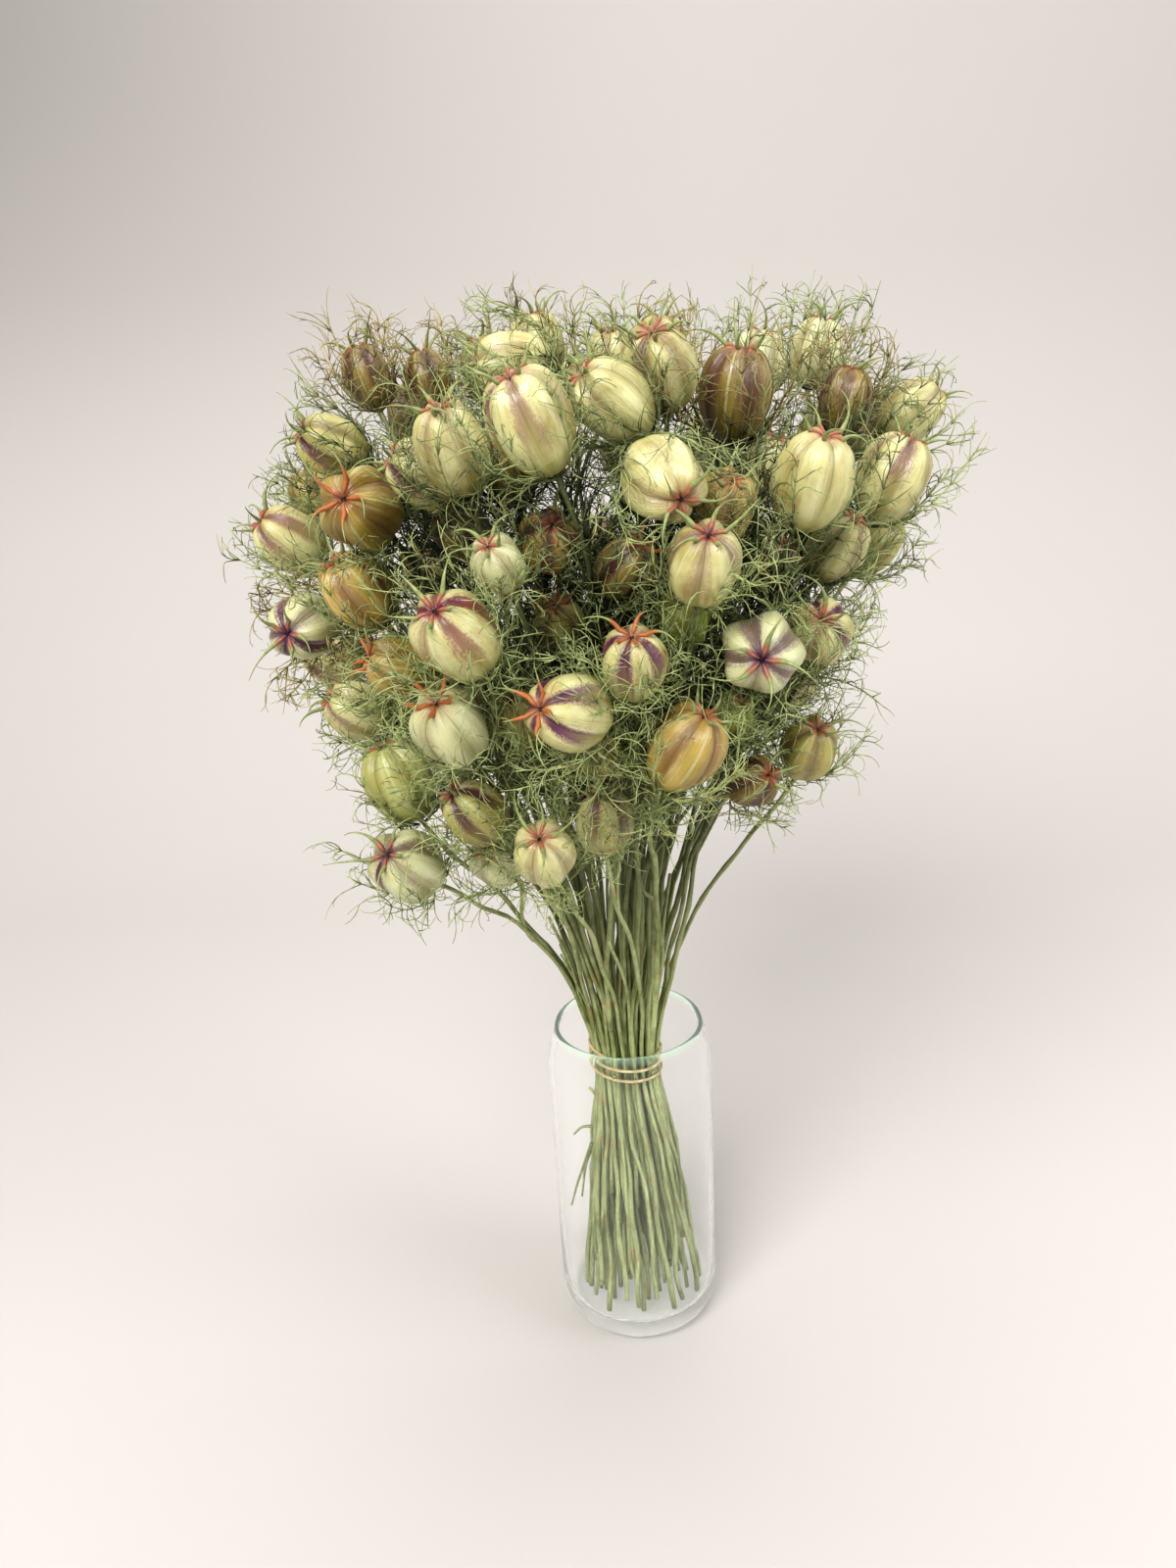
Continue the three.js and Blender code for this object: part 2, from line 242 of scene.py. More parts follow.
class Colours(bpy.types.PropertyGroup):
    """The bunch's colours."""

    cream: colour("Cream", "Skin of a cream pod", (0.61, 0.585, 0.28))
    ochre: colour("Ochre", "Skin of an ochre pod, and the blush on a cream one", (0.34, 0.25, 0.04))
    amber: colour("Amber", "Skin of an amber pod", (0.52, 0.37, 0.09))
    umber: colour("Umber", "Skin of a brown pod", (0.20, 0.135, 0.03))
    olive: colour("Olive", "Skin of an olive pod", (0.42, 0.38, 0.11))
    green: colour("Green", "Skin of a green pod", (0.26, 0.32, 0.02))
    fresh: colour("Fresh green", "Skin of a pale green pod", (0.40, 0.42, 0.15))
    pale: colour("Pale", "Skin of a pale pod", (0.62, 0.63, 0.37))
    purple: colour("Purple", "Bands of a striped pod", (0.12, 0.012, 0.085))
    crimson: colour("Crimson", "Bands of a crimson pod", (0.20, 0.015, 0.045))
    wine: colour("Wine", "Bands of an olive pod", (0.11, 0.02, 0.045))
    rust: colour("Rust", "Bands of an ochre pod", (0.16, 0.05, 0.01))
    mauve: colour("Mauve", "Faint bands of a cream pod", (0.22, 0.08, 0.10))
    star: colour("Star", "Rays at the middle of a crown", (0.34, 0.13, 0.07))
    orange: colour("Orange", "Styles of some pods", (0.40, 0.14, 0.045))
    stem: colour("Stem", "Stems and branches", (0.39, 0.43, 0.215))
    stem_dark: colour("Stem shade", "Older patches on the stems", (0.15, 0.18, 0.05))
    style: colour("Style", "Dried styles on the crowns", (0.30, 0.35, 0.14))
    lace: colour("Lace", "Threads of the bracts", (0.35, 0.40, 0.18))
    lace_dark: colour("Lace shade", "Older threads", (0.028, 0.042, 0.012))
    straw: colour("Straw", "Dry tips of the threads", (0.38, 0.31, 0.14))
    rubber: colour("Rubber", "The rubber band", (0.72, 0.58, 0.33))
    backdrop: colour("Backdrop", "Floor and backdrop", (0.575, 0.55, 0.53))


class Wire:
    """One output of a shader node. Sums on wires add Math nodes."""

    def __init__(self, finish, socket):
        self.finish = finish
        self.socket = socket

    def maths(self, operation, first, second):
        return self.finish.node("ShaderNodeMath", {"operation": operation}, {0: first, 1: second})

    def __add__(self, other):
        return self.maths("ADD", self, other)

    def __radd__(self, other):
        return self.maths("ADD", other, self)

    def __sub__(self, other):
        return self.maths("SUBTRACT", self, other)

    def __rsub__(self, other):
        return self.maths("SUBTRACT", other, self)

    def __mul__(self, other):
        return self.maths("MULTIPLY", self, other)

    def __rmul__(self, other):
        return self.maths("MULTIPLY", other, self)

    def __truediv__(self, other):
        return self.maths("DIVIDE", self, other)


class Finish:
    """A material, and the ways to add nodes to it."""

    def __init__(self, name):
        self.material = bpy.data.materials.new(name)
        self.material.use_nodes = True
        self.tree = self.material.node_tree
        self.shader = self.tree.nodes["Principled BSDF"]

    def connect(self, socket, value):
        if isinstance(value, Wire):
            self.tree.links.new(value.socket, socket)
        elif hasattr(value, "__len__") and socket.type == "RGBA" and len(value) == 3:
            socket.default_value = (*value, 1)
        else:
            socket.default_value = value

    def node(self, kind, settings=None, inputs=None, output=0):
        made = self.tree.nodes.new(kind)
        for key, value in (settings or {}).items():
            setattr(made, key, value)
        for key, value in (inputs or {}).items():
            self.connect(made.inputs[key], value)
        return Wire(self, made.outputs[output])

    def set(self, **inputs):
        for key, value in inputs.items():
            self.connect(self.shader.inputs[key.replace("_", " ")], value)

    def place(self):
        return self.node("ShaderNodeTexCoord", output="Object")

    def attribute(self, name, output="Fac"):
        return self.node("ShaderNodeAttribute", {"attribute_name": name}, output=output)

    def noise(self, where, scale, detail=3.0, roughness=0.55):
        return self.node("ShaderNodeTexNoise", None,
                         {"Vector": where, "Scale": scale, "Detail": detail, "Roughness": roughness})

    def ease(self, value, low, high, start=0.0, end=1.0):
        """value's way from low to high, as a smooth run from start to end."""
        return self.node("ShaderNodeMapRange", {"interpolation_type": "SMOOTHSTEP"},
                         {"Value": value, "From Min": low, "From Max": high, "To Min": start, "To Max": end})

    def mix(self, share, first, second, blend="MIX"):
        made = self.tree.nodes.new("ShaderNodeMix")
        made.data_type = "RGBA"
        made.blend_type = blend
        for socket, value in ((0, share), (6, first), (7, second)):
            self.connect(made.inputs[socket], value)
        return Wire(self, made.outputs[2])

    def bump(self, height, distance, strength=1.0, under=None):
        inputs = {"Height": height, "Distance": distance, "Strength": strength}
        if under:
            inputs["Normal"] = under
        return self.node("ShaderNodeBump", None, inputs)


def pod_finish(name, skin, blush, band, star, band_strength):
    """Papery skin with blushed patches, coloured furrows, pale ridges that are partly painted highlight, painted
    shade in the furrows and towards the foot, and a rayed crown.
    """
    finish = Finish(name)
    place = finish.place()
    grain = finish.attribute("grain", "Vector")
    furrow = finish.attribute("furrow")
    height = finish.attribute("height")
    crown = finish.attribute("crown")
    stripe = finish.attribute("stripe")
    patches = finish.noise(place, 60, 3)
    streaks = finish.noise(grain, 4.5, 4, 0.6)
    veins = finish.noise(grain, 30, 2, 0.5)
    flecks = finish.noise(place, 1300, 2)
    base = finish.mix(finish.ease(patches, 0.42, 0.72) * 0.8, skin, blush)
    base = finish.mix(finish.ease(streaks, 0.52, 0.78) * 0.3, base, [part * 0.6 for part in blush])
    base = finish.mix(finish.ease(veins, 0.55, 0.7) * 0.14, base, [part * 0.45 for part in blush])
    base = finish.mix(finish.ease(streaks, 0.48, 0.28) * 0.35, base, [0.35 + part * 0.65 for part in skin])
    # painted shade: the skin turns darker olive towards the pod's foot
    foot = finish.ease(height + patches * 0.2, 0.42, 0.1)
    base = finish.mix(foot * 0.6, base, (0.27, 0.28, 0.07))
    # the band lies in the furrow, darker towards the crown, with a soft, speckled edge
    edge = furrow + (flecks - 0.5) * 0.55 + (streaks - 0.5) * 0.8
    reach = finish.ease(height + (streaks - 0.5) * 0.5 + (patches - 0.5) * 0.5, 0.18, 0.65)
    banded = finish.ease(edge, 0.34, 0.82) * stripe * reach * band_strength
    deep = finish.mix(finish.ease(height, 0.8, 1.0), band, [part * 0.5 for part in band])
    base = finish.mix(banded, base, deep)
    # a pale line along each lobe's crest, partly a painted highlight
    ridge = finish.ease(furrow, 0.09, 0.02) * finish.ease(height, 0.15, 0.4)
    base = finish.mix(ridge * 0.45, base, (0.60, 0.62, 0.36))
    seam = finish.ease(furrow, 0.9, 1.0) * finish.ease(height, 0.1, 0.6)
    base = finish.mix(seam * 0.5, base, (0.14, 0.10, 0.02))
    # painted shade: a darker copy of the skin in the furrows, strongest on the lower part of the pod
    painted_furrow_shade = finish.ease(furrow + (streaks - 0.5) * 0.8, 0.45, 1.0) * finish.ease(height, 0.95, 0.45)
    base = finish.mix(painted_furrow_shade * 0.6, base, [part * part * 0.85 for part in skin])
    # a flush round the crown, and rays that run out from its middle, longest along the lobes
    base = finish.mix(finish.ease(crown, 0.8, 0.2) * 0.4, base, star)
    arms = finish.ease(crown + furrow * 0.3 + (flecks - 0.5) * 0.1, 0.56, 0.34)
    base = finish.mix(arms * 0.85, base, star)
    base = finish.mix(finish.ease(crown, 0.1, 0.05), base, (0.03, 0.008, 0.006))
    base = finish.mix(finish.ease(flecks, 0.62, 0.75) * 0.18, base, (0.16, 0.10, 0.04))
    creases = finish.bump(streaks + veins * 0.25, 0.9 * MM, 0.8)
    finish.set(
        Base_Color=base,
        Roughness=finish.ease(patches, 0.3, 0.7, 0.26, 0.42),
        Normal=finish.bump(finish.noise(place, 420, 3), 0.2 * MM, 0.5, creases),
        Specular_IOR_Level=0.8,
    )
    return finish.material


def style_finish(name, root, main, reach):
    """Dried styles: the star's colour where they leave the crown, green further out."""
    finish = Finish(name)
    place = finish.place()
    crown = finish.attribute("crown")
    fibres = finish.noise(place, 500, 3)
    base = finish.mix(finish.ease(fibres, 0.35, 0.7) * 0.6, main, [part * 0.45 for part in main])
    base = finish.mix(finish.ease(crown + (fibres - 0.5) * 0.03, reach, reach * 0.7), base, root)
    finish.set(Base_Color=base, Roughness=finish.ease(fibres, 0.3, 0.7, 0.4, 0.6),
               Normal=finish.bump(fibres, 0.18 * MM, 0.8))
    return finish.material


def painted_shade_in_bunch(finish, place):
    """How deep a place is in the head of the bunch, as painted shade: 0 outside, 1 in the middle, where the shade is
    painted darkest.
    """
    x, y, z = [finish.node("ShaderNodeSeparateXYZ", None, {0: place}, output=axis) for axis in range(3)]
    spread = z * 0.44 - 0.049
    across = (x * x + y * y) / (spread * spread)
    return finish.ease(across, 1.1, 0.45) * finish.ease(z, 0.475, 0.41) * finish.ease(z, 0.16, 0.33)


def stalk_finish(name, main, shade, straw, scale, straw_share=0.7, patch_scale=34):
    """Dry green growth: long patches of age, pale ridges and dark flecks, with painted shade inside the bunch."""
    finish = Finish(name)
    place = finish.place()
    along = finish.node("ShaderNodeMapping", None, {"Vector": place, "Scale": (1, 1, 0.14)})
    patches = finish.noise(place, patch_scale, 3)
    fibres = finish.noise(along, scale, 3, 0.6)
    flecks = finish.noise(place, 700, 2)
    base = finish.mix(finish.ease(patches, 0.42, 0.66) * 0.85, main, shade)
    base = finish.mix(finish.ease(fibres, 0.4, 0.7) * 0.5, base, [min(1, part * 1.5) for part in main])
    base = finish.mix(finish.ease(finish.noise(place, 95, 2), 0.55, 0.7) * straw_share, base, straw)
    base = finish.mix(finish.ease(flecks, 0.6, 0.75) * 0.45, base, [part * 0.4 for part in shade])
    # painted shade: the growth deep in the head of the bunch is painted near black
    base = finish.mix(painted_shade_in_bunch(finish, place) * 0.9, base, (0.012, 0.02, 0.007))
    finish.set(
        Base_Color=base,
        Roughness=finish.ease(fibres, 0.3, 0.7, 0.42, 0.68),
        Normal=finish.bump(fibres, 0.18 * MM, 0.8),
        Specular_IOR_Level=0.22,
    )
    return finish.material


def glass_finish(name):
    """Clear glass with a faint green cast, which shows most in its thick rim, and a painted glow: faint all over,
    stronger at the foot and greenish at the rim.
    """
    finish = Finish(name)
    place = finish.place()
    height = finish.node("ShaderNodeSeparateXYZ", None, {0: place}, output=2)
    rim = finish.ease(height, (GLASS_HEIGHT - 4) * MM, (GLASS_HEIGHT - 2) * MM)
    foot = finish.ease(height, 14 * MM, 6 * MM)
    smears = finish.noise(place, 26, 2)
    finish.set(
        Base_Color=finish.mix(rim, (0.99, 0.996, 0.992), (0.8, 0.92, 0.84)),
        Roughness=finish.ease(smears, 0.4, 0.75, 0.0, 0.008),
        # painted glow: faint all over the glass, stronger at its foot and green at its rim
        Emission_Color=finish.mix(rim, finish.mix(foot, (0.08, 0.084, 0.08), (0.3, 0.31, 0.3)), (0.38, 0.50, 0.40)),
        Emission_Strength=0.22,
        Transmission_Weight=1.0,
        IOR=1.12,
        Coat_Weight=0.35,
        Coat_Roughness=0.12,
    )
    return finish.material


def rubber_finish(name, main):
    """Dusty tan rubber with fine cross wrinkles."""
    finish = Finish(name)
    place = finish.place()
    dust = finish.noise(place, 160, 4)
    wrinkles = finish.noise(place, 1500, 3)
    base = finish.mix(finish.ease(dust, 0.35, 0.7), main, [part * 0.62 for part in main])
    base = finish.mix(finish.ease(wrinkles, 0.5, 0.75) * 0.4, base, [min(1, part * 1.4) for part in main])
    finish.set(
        Base_Color=base,
        Roughness=finish.ease(dust, 0.3, 0.7, 0.45, 0.65),
        Normal=finish.bump(wrinkles, 0.12 * MM, 0.6),
        Specular_IOR_Level=0.4,
    )
    return finish.material


def backdrop_finish(name, main):
    """Smooth paper with a hardly seen grain, and painted shade that darkens it upwards and most in its upper left
    corner.
    """
    finish = Finish(name)
    place = finish.place()
    grain = finish.noise(place, 9, 2)
    x, z = [finish.node("ShaderNodeSeparateXYZ", None, {0: place}, output=axis) for axis in (0, 2)]
    base = finish.mix(finish.ease(grain, 0.3, 0.7) * 0.06, main, [part * 0.9 for part in main])
    # painted shade: darker towards the top, and darkest in the upper left corner
    base = finish.mix(finish.ease(z, 0.1, 0.95) * 0.14, base, [part * 0.5 for part in main])
    corner = finish.ease(x, 0.25, -0.95) * finish.ease(z, 0.25, 0.95)
    base = finish.mix(corner * 0.8, base, [part * 0.45 for part in main])
    finish.set(
        Base_Color=base,
        Roughness=0.9,
        Specular_IOR_Level=0.15,
    )
    return finish.material


class Plant:
    """One plant: the line of its stem, and its pod's foot, direction and width."""

    def __init__(self, number, line, base, axis, width, finish, node=None):
        self.number = number
        self.line = line
        self.base = base
        self.axis = axis
        self.width = width
        self.finish = finish
        self.node = node
        self.label = f"{number:02d}"
        self.turn = axis.to_track_quat("Z", "Y")

    def draw(self, purpose):
        """This plant's own random numbers for one purpose."""
        return random.Random(f"{self.number}/{purpose}")

    def out(self, point):
        """A point in the pod's own frame, with its foot at 0 and its crown up Z, as a place in the bunch."""
        return self.base + self.turn @ point


def middle(points):
    return sum(points, Vector()) / len(points)


def through(points, parts):
    """A smooth line through the points, with each gap in that many parts."""
    ends = [points[0] * 2 - points[1], *points, points[-1] * 2 - points[-2]]
    line = []
    for before, start, end, after in zip(ends, ends[1:], ends[2:], ends[3:]):
        for part in range(parts):
            share = part / parts
            slope = end - before
            square = before * 2 - start * 5 + end * 4 - after
            cube = start * 3 - before - end * 3 + after
            line.append(start + (slope * share + square * share ** 2 + cube * share ** 3) / 2)
    return line + [points[-1].copy()]


def number_finish(number):
    for name, numbers in PLANT_FINISHES.items():
        if number in numbers:
            return name
    return BACK_FINISHES[number % len(BACK_FINISHES)]


def read_plant(node):
    """Reads a plant of the frame: ring by ring up its stem, then the pod that is left."""
    shell = bmesh.new()
    shell.from_mesh(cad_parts[node].data)
    bmesh.ops.remove_doubles(shell, verts=shell.verts, dist=FRAME_WELD)
    foot = min(shell.verts, key=lambda vert: vert.co.z).co
    ring = [vert for vert in shell.verts if (vert.co - foot).length < RING_REACH]
    seen = set()
    line = []
    while len(ring) == FRAME_STEM_SIDES:
        seen.update(ring)
        line.append(middle([vert.co for vert in ring]))
        near = dict.fromkeys(edge.other_vert(vert) for vert in ring for edge in vert.link_edges)
        ring = [vert for vert in near if vert not in seen]
    pod = [vert.co.copy() for vert in shell.verts if vert not in seen]
    shell.free()
    tip = max(pod, key=lambda point: (point - line[-1]).length)
    axis = (tip - middle([point for point in pod if point != tip])).normalized()
    width = 2 * max((point - tip).cross(axis).length for point in pod)
    base = tip - axis * TIP_SHARE * width
    number = int(node[len(STEM_PREFIX):])
    return Plant(number, line + [base], base, axis, width, number_finish(number), node)


def direction(turn, lean):
    turn, lean = math.radians(turn), math.radians(lean)
    return Vector((math.sin(lean) * math.cos(turn), math.sin(lean) * math.sin(turn), math.cos(lean)))


def side_plant(number, row, plants):
    """A head on a branch that leaves the nearest stem somewhat lower down."""
    centre = Vector(row[:3]) * MM
    width = row[3] * MM
    axis = direction(row[4], row[5])
    base = centre - axis * HALF_LENGTH_SHARE * width
    lowest, highest = base.z - BRANCH_DROP[1], base.z - BRANCH_DROP[0]
    forks = []
    for plant in plants:
        line = through(plant.line, 3)
        for point, above in zip(line, line[1:]):
            if lowest < point.z < highest:
                forks.append(((base - point).length, point, (above - point).normalized()))
    gap, start, heading = min(forks, key=lambda fork: fork[0])
    line = []
    for part in range(9):
        share = part / 8
        near = start + heading * gap * 0.6 * share
        far = base - axis * gap * 0.45 * (1 - share)
        line.append(near.lerp(far, share * share * (3 - 2 * share)))
    return Plant(number, line, base, axis, width, row[6])


def read_plants():
    nodes = sorted(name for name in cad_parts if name.startswith(STEM_PREFIX))
    plants = [read_plant(node) for node in nodes]
    grown = len(plants)
    for place, row in enumerate(SIDE_HEADS):
        plants.append(side_plant(grown + place + 1, row, plants[:grown]))
    return plants


PLANTS = read_plants()
GROWN = [plant for plant in PLANTS if plant.node]


def link(name, data):
    item = bpy.data.objects.new(name, data)
    bpy.context.scene.collection.objects.link(item)
    return item


def strands_mesh(name, strands, resolution=0, outline=None):
    """A mesh of closed strands. Each strand is a list of points, each with the strand's radius there."""
    data = bpy.data.curves.new(name, "CURVE")
    data.dimensions = "3D"
    data.use_fill_caps = True
    if outline:
        data.bevel_mode = "OBJECT"
        data.bevel_object = outline
    else:
        data.bevel_depth = 1.0
        data.bevel_resolution = resolution
    for strand in strands:
        spline = data.splines.new("POLY")
        spline.points.add(len(strand) - 1)
        spline.points.foreach_set("co", [part for point, radius in strand for part in (*point, 1)])
        spline.points.foreach_set("radius", [radius for point, radius in strand])
    item = link(name, data)
    bpy.context.view_layer.update()
    grown = item.evaluated_get(bpy.context.evaluated_depsgraph_get())
    mesh = bpy.data.meshes.new_from_object(grown)
    bpy.data.objects.remove(item)
    bpy.data.curves.remove(data)
    closed = bmesh.new()
    closed.from_mesh(mesh)
    bmesh.ops.remove_doubles(closed, verts=closed.verts, dist=WELD)
    bmesh.ops.recalc_face_normals(closed, faces=closed.faces)
    closed.to_mesh(mesh)
    closed.free()
    mesh.name = name
    mesh.shade_smooth()
    return mesh


def add_piece(name, mesh, materials, nodes=()):
    """Links a finished mesh as a piece of the bunch."""
    for material in materials:
        mesh.materials.append(material)
    piece = link(name, mesh)
    if nodes:
        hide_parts(*nodes)
    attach(piece, BODY)
    return piece


def stem_outline(ridge_depth):
    """The ridged section of a stem, as a curve of unit size."""
    ridges = 6
    data = bpy.data.curves.new("stem_outline", "CURVE")
    spline = data.splines.new("POLY")
    spline.points.add(2 * ridges - 1)
    spline.use_cyclic_u = True
    for place, point in enumerate(spline.points):
        angle = math.tau * place / (2 * ridges)
        size = 1 - ridge_depth * (place % 2)
        point.co = (size * math.cos(angle), size * math.sin(angle), 0, 1)
    return link("stem_outline", data)


def tapered(line, start, end, swelling=0.0, joints=()):
    """A strand along the line, from one radius to the other, a little thicker at its joints."""
    strand = []
    for place, point in enumerate(line):
        radius = start + (end - start) * place / (len(line) - 1)
        radius *= 1 + swelling * (place in joints)
        strand.append((point, radius))
    return strand


class NIGELLA_OT_stems(bpy.types.Operator):
    """Add a ridged stem or branch for each pod"""

    bl_idname = "nigella.add_stems"
    bl_label = "Add Stems"

    def execute(self, context):
        sizes = context.scene.nigella_stems
        tints = context.scene.nigella_colours
        finish = stalk_finish("stem", tints.stem, tints.stem_dark, tints.straw, 480)
        outline = stem_outline(sizes.ridge_depth)
        for plant in PLANTS:
            draw = plant.draw("stem")
            line = wavy(draw, through(plant.line, 3), 3.5 * MM)
            if plant.node and draw.random() < 0.4:
                line[0] = line[0].lerp(line[2], draw.uniform(0.1, 0.75))
            foot = sizes.foot_radius if plant.node else sizes.neck_radius * 0.95
            joints = {draw.randrange(4, len(line) - 4) for _ in range(3)}
            strand = tapered(line, foot * draw.uniform(0.88, 1.12), sizes.neck_radius, 0.22, joints)
            mesh = strands_mesh("stem_" + plant.label, [strand], outline=outline)
            add_piece("stem_" + plant.label, mesh, [finish], [plant.node] if plant.node else ())
        bpy.data.objects.remove(outline)
        return {"FINISHED"}


def crossing_line(draw, first, second, top):
    """A line that starts near one stem and ends near another, cut off at some height above the foot."""
    count = min(len(first.line), len(second.line)) - 1
    last = max(3, round(count * top))
    start = draw.uniform(0.15, 0.6)
    line = through([first.line[step].lerp(second.line[step], start + (1 - 2 * start) * step / last)
                    for step in range(last + 1)], 3)
    return line[draw.choice((0, 1, 2, 3, 5, 7, 9)):]


def wavy(draw, line, size):
    """The line with slow bends that fade out at the tie and at the line's upper end."""
    shift = Vector([draw.uniform(-50, 50) for _ in range(3)])
    bent = []
    for place, point in enumerate(line):
        share = min(1, abs(point.z - TIE_HEIGHT) / TIE_FADE, (len(line) - 1 - place) / 6)
        bent.append(point + noise.noise_vector(point * 28 + shift) * size * share)
    return bent


class NIGELLA_OT_bare_stems(bpy.types.Operator):
    """Add the bare stems, the arching branch and the broken twigs of the bundle"""

    bl_idname = "nigella.add_bare_stems"
    bl_label = "Add Bare Stems"

    def execute(self, context):
        sizes = context.scene.nigella_stems
        tints = context.scene.nigella_colours
        draw = random.Random("bare stems")
        finish = stalk_finish("bare_stem", [part * 1.05 for part in tints.stem], tints.stem_dark, tints.straw, 520)
        outline = stem_outline(sizes.ridge_depth)
        strands = []
        for count in range(sizes.fillers):
            first = GROWN[count * 2 % len(GROWN)]
            others = sorted(GROWN, key=lambda other: (other.line[6] - first.line[6]).length)
            line = crossing_line(draw, first, others[draw.choice((1, 2, 3, 4))], draw.uniform(0.55, 0.8))
            radius = sizes.foot_radius * draw.uniform(0.7, 1.05)
            strands.append(tapered(wavy(draw, line, 4 * MM), radius, radius * 0.65))
        for points in (ARCHING_BRANCH, KINKED_STEM):
            line = through([Vector(point) * MM for point in points], 4)
            strands.append(tapered(line, sizes.foot_radius, sizes.neck_radius * 0.8))
        for points in LOW_TWIGS:
            line = through([Vector(point) * MM for point in points], 4)
            strands.append(tapered(line, sizes.neck_radius, sizes.neck_radius * 0.5))
        for count in range(sizes.twigs):
            line = draw.choice(GROWN).line
            place = draw.randrange(4, 7)
            start = line[place].lerp(line[place + 1], draw.random())
            outward = Vector((start.x, start.y, 0)).normalized()
            heading = (outward + UP * draw.uniform(0.2, 1.4)).normalized()
            length = draw.uniform(3, 6) * MM
            strands.append(tapered([start, start + heading * length / 2, start + heading * length],
                                   sizes.neck_radius * 1.2, sizes.neck_radius * 0.8))
        mesh = strands_mesh("bare_stems", strands, outline=outline)
        add_piece("bare_stems", mesh, [finish])
        bpy.data.objects.remove(outline)
        return {"FINISHED"}


def horn_strands(plant, sizes, crown_height):
    """The five dried styles: broad and flat on the crown, then thin and curling."""
    draw = plant.draw("horns")
    strands = []
    width = plant.width
    scale = draw.uniform(0.75, 1.15)
    for lobe in range(LOBES):
        angle = math.tau * (lobe + draw.uniform(-0.06, 0.06)) / LOBES
        outward = Vector((math.cos(angle), math.sin(angle), 0))
        side = Vector((-math.sin(angle), math.cos(angle), 0))
        points = [
            outward * 0.05 * width + UP * (crown_height * 0.985),
            outward * 0.13 * width + UP * (crown_height * 1.008),
            outward * 0.21 * width + UP * (crown_height * 1.015),
        ]
        heading = (outward * draw.uniform(0.5, 1.1) + UP).normalized()
        curl = side * draw.uniform(-1.5, 1.5) + outward * draw.uniform(-0.6, 1.3) - UP * draw.uniform(-0.2, 1.3)
        step = sizes.horn_length * scale * draw.uniform(0.6, 1.2) / 8
        for count in range(8):
            heading = (heading + curl * 0.07 * (1 + count * 0.4)).normalized()
            points.append(points[-1] + heading * step)
        full = sizes.horn_radius * draw.uniform(0.8, 1.15)
        shares = (0.3, 0.85, 1.0, 0.9, 0.7, 0.52, 0.4, 0.32, 0.26, 0.2, 0.13)
        strands.append([(plant.out(point), full * share) for point, share in zip(points, shares)])
    return strands


def pod_mesh(name, plant, sizes):
    """A five-lobed papery pod, spun and then pressed into lobes, with its styles."""
    draw = plant.draw("pod")
    width, length = plant.width, plant.width * POD_LENGTH
    outline = through([Vector((across * width, 0, up * length)) for across, up in POD_OUTLINE], OUTLINE_PARTS)
    shell = bmesh.new()
    verts = [shell.verts.new(point) for point in outline]
    edges = [shell.edges.new(pair) for pair in zip(verts, verts[1:])]
    bmesh.ops.spin(shell, geom=verts + edges, cent=(0, 0, 0), axis=UP, dvec=(0, 0, 0), angle=math.tau,
                   steps=LOBES * STEPS_PER_LOBE, use_merge=True, use_duplicate=False)
    bmesh.ops.remove_doubles(shell, verts=shell.verts, dist=10 * WELD)
    bmesh.ops.recalc_face_normals(shell, faces=shell.faces)
    layers = {key: shell.verts.layers.float.new(key) for key in ("furrow", "height", "crown", "stripe")}
    grain = shell.verts.layers.float_vector.new("grain")
    swell = [draw.uniform(0.92, 1.04) for _ in range(LOBES)]
    stripes = [draw.choice((1.0, 1.0, 1.0, 0.8, 0.45)) for _ in range(LOBES)]
    sharpness = draw.choice((0.05, 0.15, 0.3, 0.6))
    shift = Vector([draw.uniform(-9, 9) for _ in range(3)])
    for vert in shell.verts:
        across = math.hypot(vert.co.x, vert.co.y)
        angle = math.atan2(vert.co.y, vert.co.x) / math.tau * LOBES % LOBES
        furrow = 2 * abs(angle - round(angle))
        lobe = round(angle) % LOBES
        height = min(max(vert.co.z / length, 0), 1)
        soft, sharp = (1 + math.cos(math.pi * furrow)) / 2, math.sqrt(max(0, 1 - furrow ** 2.2))
        bulge = soft + (sharp - soft) * sharpness
        depth = sizes.furrow_depth * (0.45 + 0.75 * height + 0.9 * max(0, height - 0.8))
        size = 1 - depth * (1 - bulge) + 0.02 * (furrow < 0.05) * (height > 0.08)
        size *= 1 + (swell[lobe] - 1) * bulge * (across > 0)
        fold = noise.noise(Vector((vert.co.x, vert.co.y, vert.co.z * 0.3)) / width * 5 + shift) * 0.05 * height
        dent = noise.noise(vert.co * 70 + shift) * 0.04 + noise.noise(vert.co * 190 + shift) * 0.012 + fold
        size *= 1 + dent * min(1, across / width * 4)
        dip = max(0, height - 0.7) * (1 - bulge) * 0.16 * length
        vert[layers["furrow"]] = furrow
        vert[layers["height"]] = height
        vert[layers["crown"]] = across / width * 2 if height > 0.5 else 2.0
        vert[layers["stripe"]] = stripes[int(angle) % LOBES]
        turned = angle / LOBES * math.tau
        vert[grain] = (math.cos(turned), math.sin(turned), height * 0.3 + shift.x)
        vert.co = Vector((vert.co.x * size, vert.co.y * size, vert.co.z - dip))
    bmesh.ops.transform(shell, matrix=Matrix.Translation(plant.base) @ plant.turn.to_matrix().to_4x4(),
                        verts=shell.verts)
    skin = {*shell.faces, *shell.verts}
    shell.from_mesh(strands_mesh(name + "_horns", horn_strands(plant, sizes, length), resolution=1))
    crown_middle = plant.out(Vector((0, 0, length)))
    for face in shell.faces:
        face.material_index = 0 if face in skin else 1
    for vert in shell.verts:
        if vert not in skin:
            vert[layers["crown"]] = (vert.co - crown_middle).length / width
    mesh = bpy.data.meshes.new(name)
    shell.to_mesh(mesh)
    shell.free()
    mesh.shade_smooth()
    return mesh


